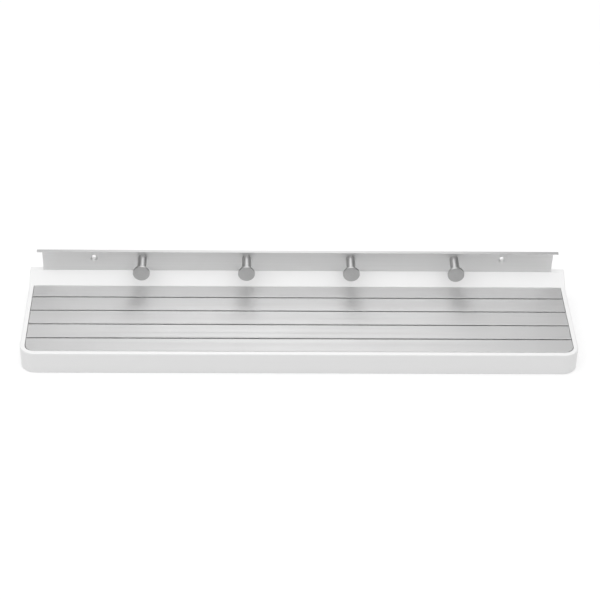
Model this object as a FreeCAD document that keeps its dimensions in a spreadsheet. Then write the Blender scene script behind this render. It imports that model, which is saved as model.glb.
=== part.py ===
import FreeCAD, Part
import os
import Sketcher

# Wall shelf with a four-peg hook rail, in millimetres.
# X runs along the shelf, +Y points into the wall and +Z is up.
# The origin lies on the wall plane, midway between the rail's two screw holes,
# which share one height with the four pegs.

# Driving sizes: alias, value, meaning
SIZES = [
    ("body_width", 600, "whole width of the moulded body"),
    ("front_height", 26.4, "height of the front face, lower edge to rim"),
    ("body_corner_radius", 16, "front corners of the body, seen from above"),
    ("body_edge_radius", 1.2, "rounding of the outer rim and lower edge"),
    ("body_wall", 3, "wall of the moulded body"),
    ("tray_floor", 2.6, "floor under the deck recess"),
    ("front_lip", 4.6, "white lip in front of the deck"),
    ("side_rim", 5.2, "white rim at each end of the deck"),
    ("ledge_run", 15.6, "depth of the slope behind the deck"),
    ("ledge_rise", 9.8, "height of the slope behind the deck"),
    ("ledge_clearance", 0.2, "flat strip in front of the rail's foot"),
    ("deck_gap", 0.5, "clearance round the deck in its recess"),
    ("deck_proud", 0.3, "deck surface above the rim"),
    ("deck_corner_radius", 10, "front corners of the deck"),
    ("back_slat_width", 19.4, "front to back width of the slat next to the slope"),
    ("front_slat_width", 21.4, "front to back width of the slat next to the lip"),
    ("slat_width", 22.4, "front to back width of each slat between them"),
    ("slat_gap", 2.0, "open joint between two slats"),
    ("slat_thickness", 3.5, "thickness of a slat"),
    ("slat_chamfer", 0.4, "bevel round the top of a slat"),
    ("bearer_width", 16, "width of a cross bar under the slats"),
    ("bearer_thickness", 3.2, "thickness of a cross bar"),
    ("bearer_inset", 4, "cross bar end to the deck's edge"),
    ("bearer_end_inset", 44.3, "deck end to the axis of an outer cross bar"),
    ("rail_depth", 6, "wall to the rail's front edge"),
    ("flange_nose", 0.7, "top flange in front of the web"),
    ("flange_rear_gap", 1.8, "wall to the rear edge of the top flange"),
    ("flange_thickness", 1.2, "thickness of the top flange"),
    ("flange_inset", 9, "body end to the end of the top flange"),
    ("web_thickness", 1.8, "thickness of the rail's upright web"),
    ("web_inset", 6, "flange end to the end of the upright web"),
    ("rail_edge_radius", 0.4, "rounding of the rail's front edges"),
    ("rail_top", 8.6, "top of the rail above the hole axis"),
    ("rail_foot", 16.6, "foot of the rail below the hole axis"),
    ("upstand_inset", 1, "upstand end inside the web's end"),
    ("wall_hole_spacing", 456, "distance between the two wall screw holes"),
    ("wall_hole_diameter", 5.2, "wall screw hole"),
    ("countersink_depth", 1.7, "depth and width of the hole's countersink"),
    ("peg_pitch", 116, "distance between pegs"),
    ("peg_length", 30.2, "web to the crown of a peg"),
    ("peg_shank_diameter", 10, "stem of a peg"),
    ("peg_head_diameter", 18.4, "disc of a peg"),
    ("peg_head_thickness", 3.4, "disc of a peg with its crown"),
    ("peg_crown", 0.6, "height of the crowned face"),
    ("peg_neck_radius", 0.6, "fillet between stem and disc"),
    ("peg_rim_radius", 0.25, "rounding of the disc's edges"),
    ("peg_bore_depth", 10, "threaded bore in the peg's foot"),
    ("thread_clearance", 0.1, "radial clearance of a screw in its thread"),
    ("hole_clearance", 0.2, "radial clearance of a screw in a plain hole"),
    ("head_clearance", 0.4, "radial clearance of a sunk screw head"),
    ("screw_end_gap", 0.6, "free depth past a screw's tip"),
    ("peg_screw_diameter", 4, "shank of a peg screw"),
    ("peg_screw_head_diameter", 8, "head of a peg screw"),
    ("peg_screw_head_height", 1.2, "head height of a peg screw"),
    ("peg_screw_sink", 1.5, "depth of the pocket for the screw head"),
    ("slat_screw_diameter", 3, "shank of a slat screw"),
    ("slat_screw_head_diameter", 5.4, "head of a slat screw"),
    ("slat_screw_head_height", 1.4, "head height of a slat screw"),
    ("slat_screw_sink", 1.6, "depth of the pocket for the screw head"),
    ("slat_screw_bite", 2.2, "screw length inside the slat"),
    ("bearer_screw_diameter", 4, "shank of a cross bar screw"),
    ("bearer_screw_head_diameter", 7, "head of a cross bar screw"),
    ("bearer_screw_head_height", 2.2, "head height of a cross bar screw"),
    ("bearer_boss_diameter", 10, "boss round a cross bar screw"),
    ("bearer_boss_height", 5, "boss under the tray floor"),
    ("cover_thickness", 2.4, "plate that closes the underside"),
    ("cover_gap", 0.4, "clearance round the cover"),
    ("cover_recess", 0.6, "cover above the body's lower edge"),
    ("cover_boss_diameter", 8, "boss for a cover screw"),
    ("cover_boss_inset", 8, "cavity wall to the boss's axis"),
    ("cover_screw_diameter", 3, "shank of a cover screw"),
    ("cover_screw_head_diameter", 5.6, "flat head of a cover screw"),
    ("cover_screw_length", 12, "whole length of a cover screw"),
    ("rib_thickness", 2, "stiffening rib inside the body"),
    ("rib_depth", 9, "rib height under the tray floor"),
    ("socket_width", 2.3, "a screw's hex socket over its corners"),
    ("overrun", 0.5, "how far a cut or a rib runs past its face"),
]

SLAT_COUNT = 5
PEG_COUNT = 4
BEARER_NAMES = ["deck_bearer_left", "deck_bearer_middle", "deck_bearer_right"]
RIB_SHARES = [-0.62, -0.25, 0.25, 0.62]
COVER_SCREW_SHARES = [-0.9, -0.44, 0.44, 0.9]
SOCKET_DEPTH_SHARE = 0.6

# Places along Y, from the wall to the front
WEB_FRONT = "(Sizes.flange_nose - Sizes.rail_depth)"
WEB_BACK = f"({WEB_FRONT} + Sizes.web_thickness)"
LEDGE_FRONT = "(-Sizes.rail_depth - Sizes.ledge_clearance)"
RECESS_BACK = f"({LEDGE_FRONT} - Sizes.ledge_run)"
DECK_BACK = f"({RECESS_BACK} - Sizes.deck_gap)"
SLAT_PITCH = "(Sizes.slat_width + Sizes.slat_gap)"
FRONT_SLAT_BACK = f"({DECK_BACK} - Sizes.back_slat_width - Sizes.slat_gap - {SLAT_COUNT - 2} * {SLAT_PITCH})"
DECK_FRONT = f"({FRONT_SLAT_BACK} - Sizes.front_slat_width)"
RECESS_FRONT = f"({DECK_FRONT} - Sizes.deck_gap)"
BODY_FRONT = f"({RECESS_FRONT} - Sizes.front_lip)"
CAVITY_FRONT = f"({BODY_FRONT} + Sizes.body_wall)"

# Heights along Z
LEDGE_TOP = "(-Sizes.rail_foot)"
FLANGE_UNDERSIDE = "(Sizes.rail_top - Sizes.flange_thickness)"
RIM_TOP = f"({LEDGE_TOP} - Sizes.ledge_rise)"
DECK_TOP = f"({RIM_TOP} + Sizes.deck_proud)"
RECESS_FLOOR = f"({DECK_TOP} - Sizes.slat_thickness - Sizes.bearer_thickness)"
CAVITY_TOP = f"({RECESS_FLOOR} - Sizes.tray_floor)"
BODY_BOTTOM = f"({RIM_TOP} - Sizes.front_height)"
COVER_BOTTOM = f"({BODY_BOTTOM} + Sizes.cover_recess)"
COVER_TOP = f"({COVER_BOTTOM} + Sizes.cover_thickness)"
BEARER_SEAT = f"({CAVITY_TOP} - Sizes.bearer_boss_height)"

# Half lengths along X
BODY_HALF = "(Sizes.body_width / 2)"
RECESS_HALF = f"({BODY_HALF} - Sizes.side_rim)"
CAVITY_HALF = f"({BODY_HALF} - Sizes.body_wall)"
CAVITY_RADIUS = "(Sizes.body_corner_radius - Sizes.body_wall)"
SLAT_HALF = f"({RECESS_HALF} - Sizes.deck_gap)"
FLANGE_HALF = f"({BODY_HALF} - Sizes.flange_inset)"
WEB_HALF = f"({FLANGE_HALF} - Sizes.web_inset)"

SAME = 1e-4


def value(doc, text):
    """Number that a size expression stands for."""
    return float(doc.getObject("Sizes").evalExpression(text))


def make_sheet(doc):
    """Spreadsheet that holds every driving size under its alias."""
    sheet = doc.addObject("Spreadsheet::Sheet", "Sizes")
    for row, (alias, number, meaning) in enumerate(SIZES, start=1):
        sheet.set(f"A{row}", meaning)
        sheet.set(f"B{row}", str(number))
        sheet.setAlias(f"B{row}", alias)
    doc.recompute()
    return sheet


def make_body(doc, label):
    """Empty body whose label is the node's name."""
    body = doc.addObject("PartDesign::Body", label)
    body.Label = label
    return body


def place(obj, x="0", y="0", z="0"):
    """Bind an object's position to size expressions."""
    for axis, text in (("x", x), ("y", y), ("z", z)):
        obj.setExpression(f"Placement.Base.{axis}", text)


def make_sketch(body, role, name, offset="0"):
    """Sketch on one of the body's own planes, moved along its normal."""
    sketch = body.newObject("Sketcher::SketchObject", f"{body.Name}_{name}")
    plane = [item for item in body.Origin.OriginFeatures if item.Role == role][0]
    sketch.AttachmentSupport = [(plane, "")]
    sketch.MapMode = "FlatFace"
    sketch.setExpression("AttachmentOffset.Base.z", offset)
    body.Document.recompute()
    return sketch


def bind(sketch, kind, *references, text):
    """Add a dimension whose value follows a size expression."""
    number = value(sketch.Document, text)
    index = sketch.addConstraint(Sketcher.Constraint(kind, *references, number))
    sketch.setExpression(f"Constraints[{index}]", text)


def pin_point(sketch, geometry, point, x, y):
    """Hold a point of the sketch at expression coordinates."""
    for kind, text, axis in (("DistanceX", x, -2), ("DistanceY", y, -1)):
        if text == "0":
            sketch.addConstraint(Sketcher.Constraint("PointOnObject", geometry, point, axis))
        else:
            bind(sketch, kind, -1, 1, geometry, point, text=text)


def draw_outline(sketch, corners, arcs=None):
    """Closed outline through the corners, counter-clockwise; arcs holds the radius of a bulging side."""
    doc = sketch.Document
    arcs = arcs or {}
    points = [FreeCAD.Vector(value(doc, x), value(doc, y), 0) for x, y in corners]
    sides = []
    for index, start in enumerate(points):
        end = points[(index + 1) % len(points)]
        if index in arcs:
            side = Part.ArcOfCircle(start, bulge(start, end, value(doc, arcs[index])), end)
        else:
            side = Part.LineSegment(start, end)
        sides.append(sketch.addGeometry(side, False))
    for index, side in enumerate(sides):
        following = sides[(index + 1) % len(sides)]
        sketch.addConstraint(Sketcher.Constraint("Coincident", side, 2, following, 1))
    for side, (x, y) in zip(sides, corners):
        pin_point(sketch, side, 1, x, y)
    for index, radius in arcs.items():
        bind(sketch, "Radius", sides[index], text=radius)


def bulge(start, end, radius):
    """Middle point of an arc that bulges to the right of the way from start to end."""
    chord = end - start
    outward = FreeCAD.Vector(chord.y, -chord.x, 0)
    outward.normalize()
    rise = radius - (radius * radius - chord.Length * chord.Length / 4) ** 0.5
    return (start + end) * 0.5 + outward * rise


def draw_rectangle(sketch, x_low, x_high, y_low, y_high):
    """Rectangle between four size expressions."""
    draw_outline(sketch, [(x_low, y_low), (x_high, y_low), (x_high, y_high), (x_low, y_high)])


def draw_tray(sketch, half, back, front, radius):
    """Rectangle with square back corners and rounded front corners."""
    draw_outline(sketch, [
        (half, back),
        (f"-{half}", back),
        (f"-{half}", f"{front} + {radius}"),
        (f"-{half} + {radius}", front),
        (f"{half} - {radius}", front),
        (half, f"{front} + {radius}"),
    ], arcs={2: radius, 4: radius})


def draw_circle(sketch, x, y, diameter):
    """Circle of a given diameter at expression coordinates."""
    doc = sketch.Document
    centre = FreeCAD.Vector(value(doc, x), value(doc, y), 0)
    circle = Part.Circle(centre, FreeCAD.Vector(0, 0, 1), value(doc, diameter) / 2)
    geometry = sketch.addGeometry(circle, False)
    pin_point(sketch, geometry, 3, x, y)
    bind(sketch, "Diameter", geometry, text=diameter)


def extrude(body, kind, sketch, length, symmetric=False, flip=False):
    """Pad or pocket a sketch, and check that it changes the solid the right way."""
    doc = body.Document
    before = body.Shape.Volume if body.Tip else 0
    feature = body.newObject(kind, f"{sketch.Name}_solid")
    feature.Profile = sketch
    feature.SideType = "Symmetric" if symmetric else "One side"
    feature.Reversed = flip
    feature.setExpression("Length", length)
    sketch.Visibility = False
    doc.recompute()
    grows = kind == "PartDesign::Pad"
    if (feature.Shape.Volume > before) != grows:
        raise RuntimeError(f"{feature.Name} does not change {body.Label} as it should")
    return feature


def pad(body, sketch, length, symmetric=False, flip=False):
    """Add material along the sketch's normal."""
    return extrude(body, "PartDesign::Pad", sketch, length, symmetric, flip)


def pocket(body, sketch, length, symmetric=False, flip=False):
    """Remove material against the sketch's normal."""
    return extrude(body, "PartDesign::Pocket", sketch, length, symmetric, flip)


def dress(body, kind, name, test, size_property, size):
    """Fillet or chamfer every edge of the body that passes the test."""
    doc = body.Document
    base = body.Tip
    edges = [f"Edge{number}" for number, edge in enumerate(base.Shape.Edges, start=1) if test(edge)]
    if not edges:
        raise RuntimeError(f"no edge of {body.Label} for {name}")
    feature = body.newObject(kind, f"{body.Name}_{name}")
    feature.Base = (base, edges)
    feature.setExpression(size_property, size)
    doc.recompute()
    return feature


def fillet(body, name, test, radius):
    """Round the chosen edges."""
    return dress(body, "PartDesign::Fillet", name, test, "Radius", radius)


def chamfer(body, name, test, size):
    """Bevel the chosen edges."""
    return dress(body, "PartDesign::Chamfer", name, test, "Size", size)


def near(first, second):
    """Whether two numbers are the same place."""
    return abs(first - second) < SAME


def is_upright(edge):
    """Whether an edge is a straight line along Z."""
    box = edge.BoundBox
    return near(box.XLength, 0) and near(box.YLength, 0)


def upright_at(y):
    """Test for upright edges at one place along Y."""
    return lambda edge: is_upright(edge) and near(edge.BoundBox.YMin, y)


def circle_at(radius, y=None, z=None):
    """Test for full circles of one radius in one plane."""
    def test(edge):
        if edge.Degenerated or not isinstance(edge.Curve, Part.Circle):
            return False
        if not near(edge.Curve.Radius, radius):
            return False
        centre = edge.Curve.Center
        return (y is None or near(centre.y, y)) and (z is None or near(centre.z, z))
    return test


def spread(count, pitch):
    """Expressions of evenly spaced places about zero."""
    steps = [index - (count - 1) / 2 for index in range(count)]
    return [f"({step} * {pitch})" if step else "0" for step in steps]


def bearer_places():
    """Places of the three cross bars along X."""
    return spread(len(BEARER_NAMES), f"({SLAT_HALF} - Sizes.bearer_end_inset)")


def slat_depth(number):
    """Front to back width of a slat, counted from the slope."""
    ends = {1: "Sizes.back_slat_width", SLAT_COUNT: "Sizes.front_slat_width"}
    return ends.get(number, "Sizes.slat_width")


def slat_back(number):
    """Place of a slat's rear edge along Y."""
    if number == 1:
        return DECK_BACK
    return f"({FRONT_SLAT_BACK} + {SLAT_COUNT - number} * {SLAT_PITCH})"


def slat_screw_rows():
    """Places of the slat screws along Y, under the middle of each slat."""
    return [f"({slat_back(number)} - {slat_depth(number)} / 2)" for number in range(1, SLAT_COUNT + 1)]


def bearer_screw_rows():
    """Places of the cross bars' own screws along Y, under the first and the last open joint."""
    return [f"({slat_back(number)} + Sizes.slat_gap / 2)" for number in (2, SLAT_COUNT)]


def bearer_screw_places():
    """Places of the screws that hold the cross bars down."""
    return [(x, y) for x in bearer_places() for y in bearer_screw_rows()]


def cover_screw_places():
    """Places of the cover screws, in a back row and a front row."""
    rows = [f"({RECESS_BACK} - Sizes.cover_boss_inset)", f"({CAVITY_FRONT} + Sizes.cover_boss_inset)"]
    return [(f"({share} * {CAVITY_HALF})", y) for share in COVER_SCREW_SHARES for y in rows]


def make_shelf_body(doc):
    """White moulding: rim, deck recess, slope, upstand for the rail and hollow underside."""
    body = make_body(doc, "shelf_body")
    front = value(doc, BODY_FRONT)
    half = value(doc, BODY_HALF)

    profile = make_sketch(body, "YZ_Plane", "profile")
    draw_outline(profile, [
        (BODY_FRONT, BODY_BOTTOM),
        ("0", BODY_BOTTOM),
        ("0", LEDGE_TOP),
        (LEDGE_FRONT, LEDGE_TOP),
        (RECESS_BACK, RIM_TOP),
        (BODY_FRONT, RIM_TOP),
    ])
    pad(body, profile, "Sizes.body_width", symmetric=True)
    fillet(body, "corners", upright_at(front), "Sizes.body_corner_radius")
    cut_recess(body)

    def on_outer_rim(edge):
        box = edge.BoundBox
        outside = near(max(box.XMax, -box.XMin), half) or near(box.YMin, front)
        return outside and not is_upright(edge) and box.YMin < -SAME

    fillet(body, "rim", on_outer_rim, "Sizes.body_edge_radius")
    cut_cavity(body)
    add_upstand(body)
    add_ribs_and_bosses(body)
    drill_body(body)
    return body


def cut_recess(body):
    """Recess that holds the deck, with rounded front corners."""
    recess = make_sketch(body, "XY_Plane", "recess", RIM_TOP)
    draw_tray(recess, RECESS_HALF, RECESS_BACK, RECESS_FRONT, "(Sizes.deck_corner_radius + Sizes.deck_gap)")
    pocket(body, recess, f"{RIM_TOP} - {RECESS_FLOOR}")


def cut_cavity(body):
    """Hollow underside, cored out again below the slope."""
    cavity = make_sketch(body, "XY_Plane", "cavity", BODY_BOTTOM)
    draw_tray(cavity, CAVITY_HALF, "-Sizes.body_wall", CAVITY_FRONT, CAVITY_RADIUS)
    pocket(body, cavity, f"{CAVITY_TOP} - {BODY_BOTTOM}", flip=True)

    steepness = "(Sizes.ledge_rise / Sizes.ledge_run)"
    slope_wall = f"(Sizes.body_wall * sqrt(1 + {steepness} * {steepness}))"
    core_front = f"({RECESS_BACK} + Sizes.body_wall)"
    core_front_top = f"({RIM_TOP} + Sizes.body_wall * {steepness} - {slope_wall})"
    core_top = f"({LEDGE_TOP} - Sizes.body_wall)"
    core_top_front = f"({RECESS_BACK} + (Sizes.ledge_rise - Sizes.body_wall + {slope_wall}) / {steepness})"
    core = make_sketch(body, "YZ_Plane", "core")
    draw_outline(core, [
        (core_front, f"({CAVITY_TOP} - Sizes.overrun)"),
        ("-Sizes.body_wall", f"({CAVITY_TOP} - Sizes.overrun)"),
        ("-Sizes.body_wall", core_top),
        (core_top_front, core_top),
        (core_front, core_front_top),
    ])
    pocket(body, core, f"2 * {CAVITY_HALF}", symmetric=True)


def add_upstand(body):
    """Upstand between the rail's web and the wall, up to the underside of the flange."""
    upstand = make_sketch(body, "XY_Plane", "upstand", LEDGE_TOP)
    half = f"({WEB_HALF} - Sizes.upstand_inset)"
    draw_rectangle(upstand, f"-{half}", half, WEB_BACK, "0")
    pad(body, upstand, f"{FLANGE_UNDERSIDE} - {LEDGE_TOP}")


def add_ribs_and_bosses(body):
    """Cross ribs, bosses for the cross bar screws and bosses for the cover screws."""
    ribs = make_sketch(body, "XY_Plane", "ribs", CAVITY_TOP)
    for share in RIB_SHARES:
        middle = f"({share} * {CAVITY_HALF})"
        draw_rectangle(ribs, f"{middle} - Sizes.rib_thickness / 2", f"{middle} + Sizes.rib_thickness / 2",
                       f"{CAVITY_FRONT} - Sizes.overrun", "-Sizes.body_wall + Sizes.overrun")
    pad(body, ribs, "Sizes.rib_depth", flip=True)

    bosses = make_sketch(body, "XY_Plane", "bearer_bosses", CAVITY_TOP)
    for x, y in bearer_screw_places():
        draw_circle(bosses, x, y, "Sizes.bearer_boss_diameter")
    pad(body, bosses, "Sizes.bearer_boss_height", flip=True)

    posts = make_sketch(body, "XY_Plane", "cover_bosses", CAVITY_TOP)
    for x, y in cover_screw_places():
        draw_circle(posts, x, y, "Sizes.cover_boss_diameter")
    pad(body, posts, f"{CAVITY_TOP} - {COVER_TOP}", flip=True)


def drill_body(body):
    """Holes for the wall screws, peg screws, cross bar screws and cover screws."""
    through = make_sketch(body, "XY_Plane", "bearer_holes", BEARER_SEAT)
    for x, y in bearer_screw_places():
        draw_circle(through, x, y, "Sizes.bearer_screw_diameter + 2 * Sizes.hole_clearance")
    pocket(body, through, f"{RECESS_FLOOR} - {BEARER_SEAT} + Sizes.overrun", flip=True)

    pilots = make_sketch(body, "XY_Plane", "cover_pilots", COVER_TOP)
    for x, y in cover_screw_places():
        draw_circle(pilots, x, y, "Sizes.cover_screw_diameter + 2 * Sizes.thread_clearance")
    pocket(body, pilots, "Sizes.cover_screw_length - Sizes.cover_thickness + Sizes.screw_end_gap",
           flip=True)

    behind = make_sketch(body, "XZ_Plane", "upstand_holes")
    draw_rail_holes(behind)
    pocket(body, behind, "Sizes.rail_depth", flip=True)

    sinks = make_sketch(body, "XZ_Plane", "peg_screw_sinks")
    for x in spread(PEG_COUNT, "Sizes.peg_pitch"):
        draw_circle(sinks, x, "0", "Sizes.peg_screw_head_diameter + 2 * Sizes.head_clearance")
    pocket(body, sinks, "Sizes.peg_screw_sink", flip=True)


def draw_rail_holes(sketch):
    """Two wall screw holes and four peg screw holes in one row."""
    for x in spread(2, "Sizes.wall_hole_spacing"):
        draw_circle(sketch, x, "0", "Sizes.wall_hole_diameter")
    for x in spread(PEG_COUNT, "Sizes.peg_pitch"):
        draw_circle(sketch, x, "0", "Sizes.peg_screw_diameter + 2 * Sizes.hole_clearance")


def make_hook_rail(doc):
    """Aluminium rail: an upright web under a longer flange that covers the upstand's front."""
    body = make_body(doc, "hook_rail")
    web = make_sketch(body, "YZ_Plane", "web")
    draw_rectangle(web, WEB_FRONT, WEB_BACK, LEDGE_TOP, FLANGE_UNDERSIDE)
    pad(body, web, f"2 * {WEB_HALF}", symmetric=True)

    flange = make_sketch(body, "YZ_Plane", "flange")
    draw_rectangle(flange, "-Sizes.rail_depth", "-Sizes.flange_rear_gap", FLANGE_UNDERSIDE, "Sizes.rail_top")
    pad(body, flange, f"2 * {FLANGE_HALF}", symmetric=True)

    holes = make_sketch(body, "XZ_Plane", "holes", f"-{WEB_BACK}")
    draw_rail_holes(holes)
    pocket(body, holes, "Sizes.web_thickness + Sizes.overrun", flip=True)

    hole_radius = value(doc, "Sizes.wall_hole_diameter / 2")
    web_front = value(doc, WEB_FRONT)
    chamfer(body, "countersinks", circle_at(hole_radius, y=web_front), "Sizes.countersink_depth")

    nose = value(doc, "-Sizes.rail_depth")
    fillet(body, "nose", lambda edge: near(edge.BoundBox.YMin, nose) and near(edge.BoundBox.YLength, 0),
           "Sizes.rail_edge_radius")
    return body


def make_peg(doc, number, x):
    """Turned peg: a stem with a crowned disc, bored and threaded from its foot."""
    body = make_body(doc, f"peg_{number}")
    head_back = "(Sizes.peg_head_thickness - Sizes.peg_length)"
    head_radius = "(Sizes.peg_head_diameter / 2)"
    bore_radius = "(Sizes.peg_screw_diameter / 2 + Sizes.thread_clearance)"
    half = make_sketch(body, "XY_Plane", "half_section")
    draw_outline(half, [
        ("0", "-Sizes.peg_bore_depth"),
        ("0", "-Sizes.peg_length"),
        (head_radius, "Sizes.peg_crown - Sizes.peg_length"),
        (head_radius, head_back),
        ("Sizes.peg_shank_diameter / 2", head_back),
        ("Sizes.peg_shank_diameter / 2", "0"),
        (bore_radius, "0"),
        (bore_radius, "-Sizes.peg_bore_depth"),
    ], arcs={1: f"(({head_radius} * {head_radius} / Sizes.peg_crown + Sizes.peg_crown) / 2)"})
    turned = body.newObject("PartDesign::Revolution", f"{body.Name}_turned")
    turned.Profile = half
    turned.ReferenceAxis = (half, ["V_Axis"])
    turned.Angle = 360
    half.Visibility = False
    doc.recompute()

    shank = value(doc, "Sizes.peg_shank_diameter / 2")
    head = value(doc, "Sizes.peg_head_diameter / 2")
    back = value(doc, head_back)
    fillet(body, "neck", circle_at(shank, y=back), "Sizes.peg_neck_radius")
    fillet(body, "rim", circle_at(head), "Sizes.peg_rim_radius")
    place(body, x=x, y=WEB_FRONT)
    return body


def make_slat(doc, number):
    """Brushed slat of the deck; the front one has rounded corners."""
    body = make_body(doc, f"deck_slat_{number}")
    depth = slat_depth(number)
    outline = make_sketch(body, "YZ_Plane", "section")
    draw_rectangle(outline, f"-{depth}", "0", "-Sizes.slat_thickness", "0")
    pad(body, outline, f"2 * {SLAT_HALF}", symmetric=True)
    if number == SLAT_COUNT:
        fillet(body, "corners", upright_at(value(doc, f"-{depth}")), "Sizes.deck_corner_radius")
    chamfer(body, "bevel", lambda edge: near(edge.BoundBox.ZMin, 0), "Sizes.slat_chamfer")

    holes = make_sketch(body, "XY_Plane", "screw_holes", "-Sizes.slat_thickness")
    for x in bearer_places():
        draw_circle(holes, x, f"-{depth} / 2", "Sizes.slat_screw_diameter + 2 * Sizes.thread_clearance")
    pocket(body, holes, "(Sizes.slat_screw_bite + Sizes.slat_thickness) / 2", flip=True)
    place(body, y=slat_back(number), z=DECK_TOP)
    return body


def make_bearer(doc, label, x):
    """Cross bar under the slats, with sunk holes for their screws and two threaded holes."""
    body = make_body(doc, label)
    outline = make_sketch(body, "XY_Plane", "outline")
    draw_rectangle(outline, "-Sizes.bearer_width / 2", "Sizes.bearer_width / 2",
                   f"{DECK_FRONT} + Sizes.bearer_inset", f"{DECK_BACK} - Sizes.bearer_inset")
    pad(body, outline, "Sizes.bearer_thickness")

    holes = make_sketch(body, "XY_Plane", "slat_screw_holes")
    for y in slat_screw_rows():
        draw_circle(holes, "0", y, "Sizes.slat_screw_diameter + 2 * Sizes.hole_clearance")
    for y in bearer_screw_rows():
        draw_circle(holes, "0", y, "Sizes.bearer_screw_diameter + 2 * Sizes.thread_clearance")
    pocket(body, holes, "Sizes.bearer_thickness + Sizes.overrun", flip=True)

    sinks = make_sketch(body, "XY_Plane", "screw_sinks")
    for y in slat_screw_rows():
        draw_circle(sinks, "0", y, "Sizes.slat_screw_head_diameter + 2 * Sizes.head_clearance")
    pocket(body, sinks, "Sizes.slat_screw_sink", flip=True)
    place(body, x=x, z=RECESS_FLOOR)
    return body


def make_cover(doc):
    """Plate that closes the underside, set inside the body's lower edge."""
    body = make_body(doc, "underside_cover")
    outline = make_sketch(body, "XY_Plane", "outline", COVER_BOTTOM)
    draw_tray(outline, f"({CAVITY_HALF} - Sizes.cover_gap)", "(-Sizes.body_wall - Sizes.cover_gap)",
              f"({CAVITY_FRONT} + Sizes.cover_gap)", f"({CAVITY_RADIUS} - Sizes.cover_gap)")
    pad(body, outline, "Sizes.cover_thickness")

    hole_diameter = "(Sizes.cover_screw_diameter + 2 * Sizes.hole_clearance)"
    holes = make_sketch(body, "XY_Plane", "holes", COVER_BOTTOM)
    for x, y in cover_screw_places():
        draw_circle(holes, x, y, hole_diameter)
    pocket(body, holes, "Sizes.cover_thickness + Sizes.overrun", flip=True)
    chamfer(body, "countersinks", circle_at(value(doc, hole_diameter) / 2, z=value(doc, COVER_BOTTOM)),
            f"(Sizes.cover_screw_head_diameter - {hole_diameter}) / 2")
    return body


def make_screw(doc, name, diameter, length, head_diameter, head_height):
    """Screw along +Z with its head below zero, and a hex socket in the head."""
    head = doc.addObject("Part::Cylinder", f"{name}_head")
    head.setExpression("Radius", f"{head_diameter} / 2")
    head.setExpression("Height", head_height)
    place(head, z=f"-{head_height}")
    shank = doc.addObject("Part::Cylinder", f"{name}_shank")
    shank.setExpression("Radius", f"{diameter} / 2")
    shank.setExpression("Height", length)
    blank = doc.addObject("Part::Fuse", f"{name}_blank")
    blank.Base = head
    blank.Tool = shank
    return cut_socket(doc, name, blank, head_height)


def make_flat_screw(doc, name, diameter, length, head_diameter):
    """Flat-headed screw along +Z, whose cone starts at zero."""
    head = doc.addObject("Part::Cone", f"{name}_head")
    head.setExpression("Radius1", f"{head_diameter} / 2")
    head.setExpression("Radius2", f"{diameter} / 2")
    head_height = f"(({head_diameter} - {diameter}) / 2)"
    head.setExpression("Height", head_height)
    shank = doc.addObject("Part::Cylinder", f"{name}_shank")
    shank.setExpression("Radius", f"{diameter} / 2")
    shank.setExpression("Height", f"{length} - {head_height}")
    place(shank, z=head_height)
    blank = doc.addObject("Part::Fuse", f"{name}_blank")
    blank.Base = head
    blank.Tool = shank
    return cut_socket(doc, name, blank, head_height, flush=True)


def cut_socket(doc, name, blank, head_height, flush=False):
    """Cut a hex socket into the outer end of a screw head."""
    outer_end = "0" if flush else f"-{head_height}"
    socket = doc.addObject("Part::Prism", f"{name}_socket")
    socket.Polygon = 6
    socket.setExpression("Circumradius", "Sizes.socket_width / 2")
    socket.setExpression("Height", f"{SOCKET_DEPTH_SHARE} * {head_height} + Sizes.overrun")
    place(socket, z=f"{outer_end} - Sizes.overrun")
    screw = doc.addObject("Part::Cut", f"{name}_screw")
    screw.Base = blank
    screw.Tool = socket
    return screw


def make_group(doc, label, screw, places, turn=None):
    """Copies of one screw at each place, as separate solids of one node."""
    copies = []
    for number, (x, y, z) in enumerate(places, start=1):
        copy = doc.addObject("App::Link", f"{label}_{number}")
        copy.LinkedObject = screw
        if turn is not None:
            copy.Placement = FreeCAD.Placement(FreeCAD.Vector(0, 0, 0), turn)
        place(copy, x, y, z)
        copies.append(copy)
    group = doc.addObject("Part::Compound", label)
    group.Label = label
    group.Links = copies
    return group


def make_peg_screws(doc):
    """Screws that clamp the upstand and the rail to the pegs, heads sunk into the upstand."""
    seat = "(-Sizes.peg_screw_sink)"
    length = f"({seat} - {WEB_FRONT} + Sizes.peg_bore_depth - Sizes.screw_end_gap)"
    screw = make_screw(doc, "peg", "Sizes.peg_screw_diameter", length,
                       "Sizes.peg_screw_head_diameter", "Sizes.peg_screw_head_height")
    places = [(x, seat, "0") for x in spread(PEG_COUNT, "Sizes.peg_pitch")]
    turn = FreeCAD.Rotation(FreeCAD.Vector(1, 0, 0), 90)
    return make_group(doc, "peg_screws", screw, places, turn)


def make_slat_screws(doc):
    """Screws from each cross bar up into each slat."""
    length = "(Sizes.bearer_thickness - Sizes.slat_screw_sink + Sizes.slat_screw_bite)"
    screw = make_screw(doc, "slat", "Sizes.slat_screw_diameter", length,
                       "Sizes.slat_screw_head_diameter", "Sizes.slat_screw_head_height")
    seat = f"({RECESS_FLOOR} + Sizes.slat_screw_sink)"
    places = [(x, y, seat) for x in bearer_places() for y in slat_screw_rows()]
    return make_group(doc, "slat_screws", screw, places)


def make_bearer_screws(doc):
    """Screws from the underside through the tray floor into the cross bars."""
    length = f"({RECESS_FLOOR} - {BEARER_SEAT} + Sizes.bearer_thickness - Sizes.screw_end_gap)"
    screw = make_screw(doc, "bearer", "Sizes.bearer_screw_diameter", length,
                       "Sizes.bearer_screw_head_diameter", "Sizes.bearer_screw_head_height")
    places = [(x, y, BEARER_SEAT) for x, y in bearer_screw_places()]
    return make_group(doc, "bearer_screws", screw, places)


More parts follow.
